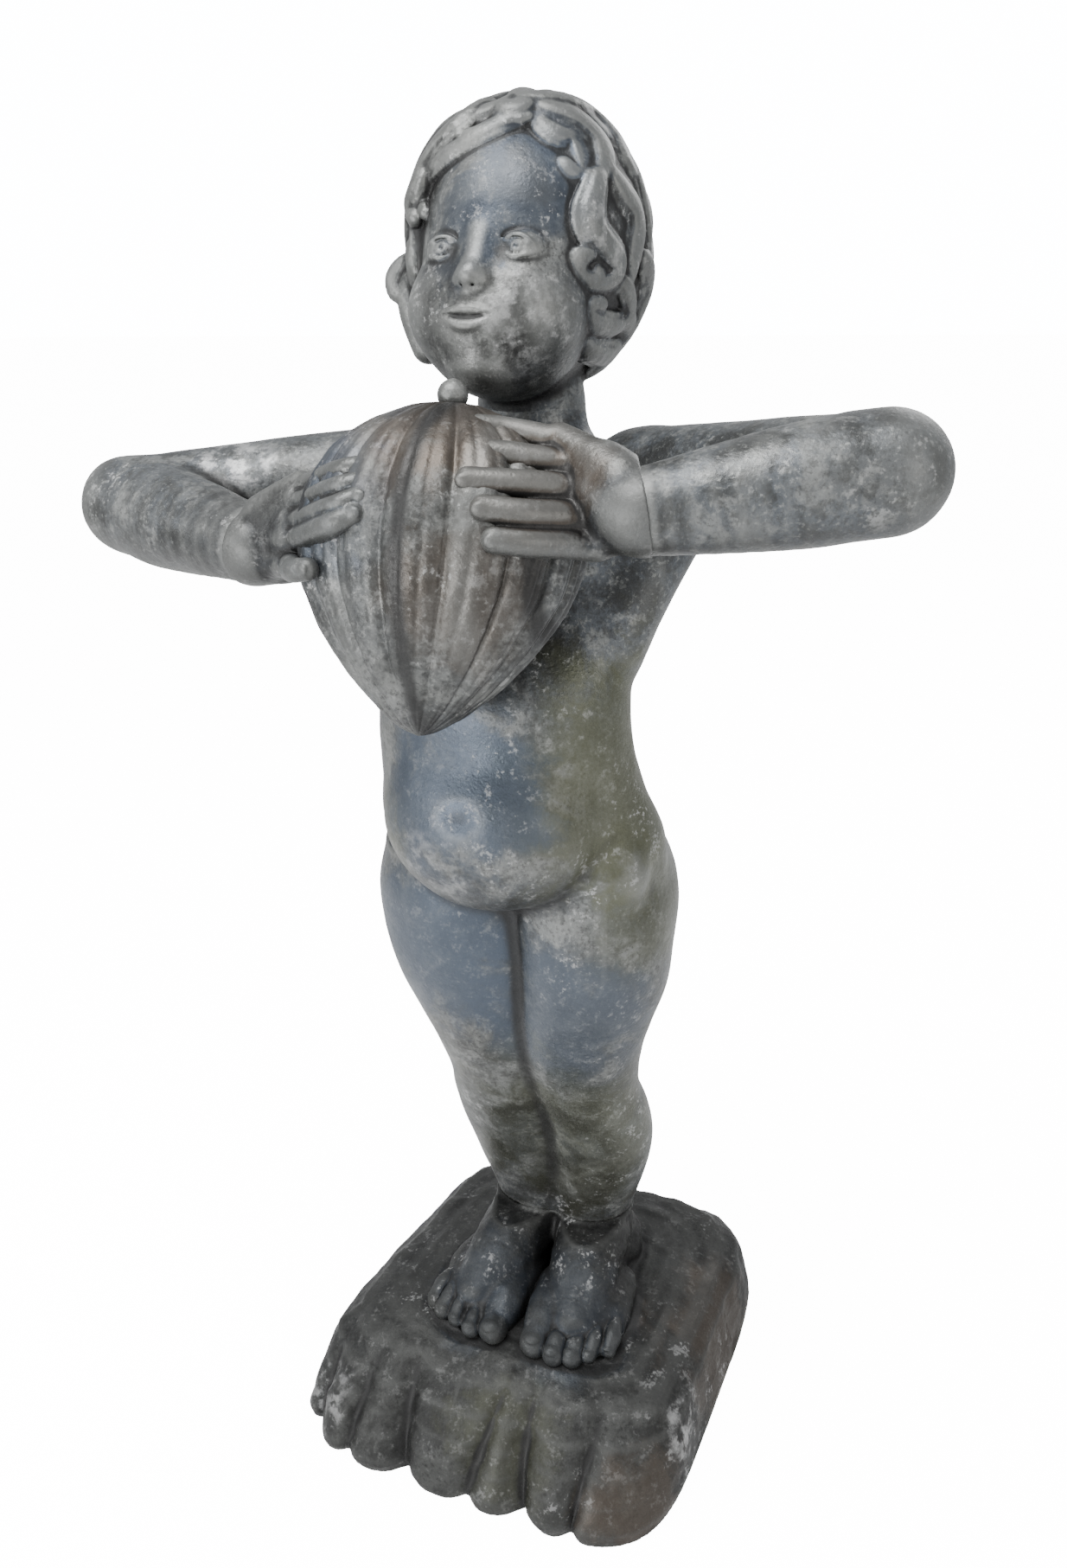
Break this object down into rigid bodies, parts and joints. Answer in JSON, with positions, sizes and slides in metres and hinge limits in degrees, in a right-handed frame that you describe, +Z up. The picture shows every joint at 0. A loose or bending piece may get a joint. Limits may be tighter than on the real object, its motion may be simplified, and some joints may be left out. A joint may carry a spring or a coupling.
{
  "type": "fountain statue",
  "caption": "Standing child figure on a rough square rock, both hands holding a lobed gourd before the chest with a small water jet in its top; it stands on its flat underside.",
  "frame": {"origin": "on the flat underside of the rock, near the middle of its footprint", "axes": "+Z up, -Y the way the figure faces, +X to the figure's left"},
  "size_m": [0.5685, 0.3572, 1.0018],
  "materials": {
    "weathered_lead": "dull grey lead with chalky white, olive and blue-grey weathering",
    "handled_lead": "dull grey lead, browner along the gourd's grooves",
    "jet_metal": "dull lime-crusted metal",
    "dark_lead": "charcoal lead with brown stains and white specks"
  },
  "bodies": {
    "root": {"child_figure": "weathered_lead", "hands_with_gourd": "handled_lead", "water_jet": "jet_metal", "rock_with_feet": "dark_lead"}
  },
  "joints": []
}
